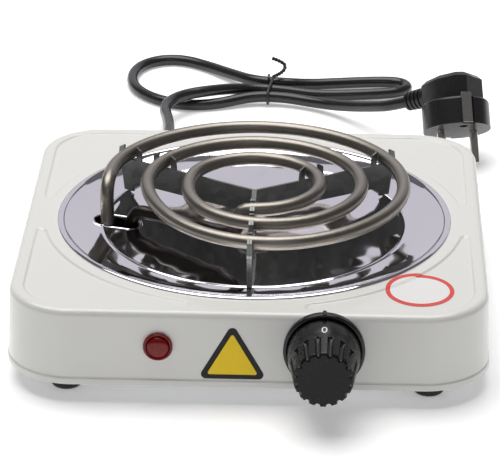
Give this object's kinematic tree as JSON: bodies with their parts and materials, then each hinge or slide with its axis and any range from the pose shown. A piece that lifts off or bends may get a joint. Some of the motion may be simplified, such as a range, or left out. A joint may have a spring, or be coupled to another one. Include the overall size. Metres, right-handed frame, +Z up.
{
  "type": "hot plate burner",
  "caption": "Electric hot plate with a spiral tube element on a spider over a drip pan, a white casing, a control knob and a corded plug.",
  "frame": {"origin": "on the surface it stands on, under the middle of the casing and knob", "axes": "+Z up, -Y the front with the knob, +X to the right seen from the front"},
  "size_m": [0.2366, 0.4706, 0.0666],
  "materials": {
    "white_enamel": "gloss powder coat",
    "zinc_sheet": "zinc plated",
    "screw_steel": "zinc plated",
    "foot_rubber": "matt",
    "pan_chrome": "polished",
    "spring_steel": "plain",
    "sheath_alloy": "satin, heat tinted",
    "steatite": "unglazed",
    "nickel_pin": "nickel plated",
    "spider_zinc": "galvanised",
    "ring_black": "moulded",
    "knob_black": "moulded",
    "brass": "plain",
    "white_nylon": "moulded",
    "silver": "plain",
    "phenolic": "moulded",
    "lamp_red": "transparent red",
    "clear_holder": "moulded",
    "bulb_glass": "clear",
    "lead_sleeve": "glass fibre sleeve",
    "bright_sheet": "bright",
    "sleeve_brown": "silicone",
    "sleeve_blue": "silicone",
    "sleeve_green": "silicone",
    "label_yellow": "laminated",
    "label_white": "laminated",
    "sleeve_rubber": "matt",
    "cord_black": "semi gloss",
    "plug_black": "moulded",
    "tie_black": "coated wire"
  },
  "bodies": {
    "casing": {"base_plate": "zinc_sheet", "base_screws": "screw_steel", "bimetal_blade": "spring_steel", "block_screws": "screw_steel", "bush_nut": "screw_steel", "coil_beads": "steatite", "coil_pins": "nickel_pin", "coil_wire": "sleeve_brown", "dial_ring": "ring_black", "drip_pan": "pan_chrome", "earth_screw": "brass", "earth_wire": "sleeve_green", "fixed_contact": "brass", "fixing_lugs": "zinc_sheet", "foot_back_left": "foot_rubber", "foot_back_right": "foot_rubber", "foot_front_left": "foot_rubber", "foot_front_right": "foot_rubber", "foot_screws": "screw_steel", "heat_shield": "bright_sheet", "heating_coil": "sheath_alloy", "lamp_bulb": "bulb_glass", "lamp_clip": "spring_steel", "lamp_housing": "clear_holder", "lamp_leads": "lead_sleeve", "lamp_lens": "lamp_red", "live_terminal": "brass", "live_wire": "sleeve_brown", "mains_cord": "cord_black", "mounting_bracket": "zinc_sheet", "neutral_wire": "sleeve_blue", "oval_label": "label_white", "pan_clips": "spring_steel", "pivot_pin": "screw_steel", "plug_body": "plug_black", "plug_clips": "nickel_pin", "plug_pins": "nickel_pin", "regulator_case": "phenolic", "regulator_cover": "phenolic", "shaft_bush": "brass", "spider_left_strip": "spider_zinc", "spider_right_strip": "spider_zinc", "spider_rivets": "spider_zinc", "strain_relief": "sleeve_rubber", "terminal_block": "steatite", "top_shell": "white_enamel", "triangle_label": "label_yellow", "twist_tie": "tie_black"},
    "knob_set": {"knob": "knob_black", "knob_clip": "spring_steel", "regulator_shaft": "brass", "regulator_cam": "white_nylon"},
    "follower": {"cam_follower": "spring_steel", "moving_contact": "silver"}
  },
  "joints": [
    {"name": "knob_turn", "type": "hinge", "parent": "casing", "child": "knob_set", "pos_m": [0.0354, -0.105, 0.0289], "axis": [0, 1, 0], "range_deg": [0, 285]},
    {"name": "follower_swing", "type": "hinge", "parent": "casing", "child": "follower", "pos_m": [0.0423, -0.085, 0.0205], "axis": [0, 1, 0], "range_deg": [0, 8.3]}
  ],
  "couplings": [
    {"joint": "follower_swing", "follows": "knob_turn", "ratio": 0.0288}
  ]
}
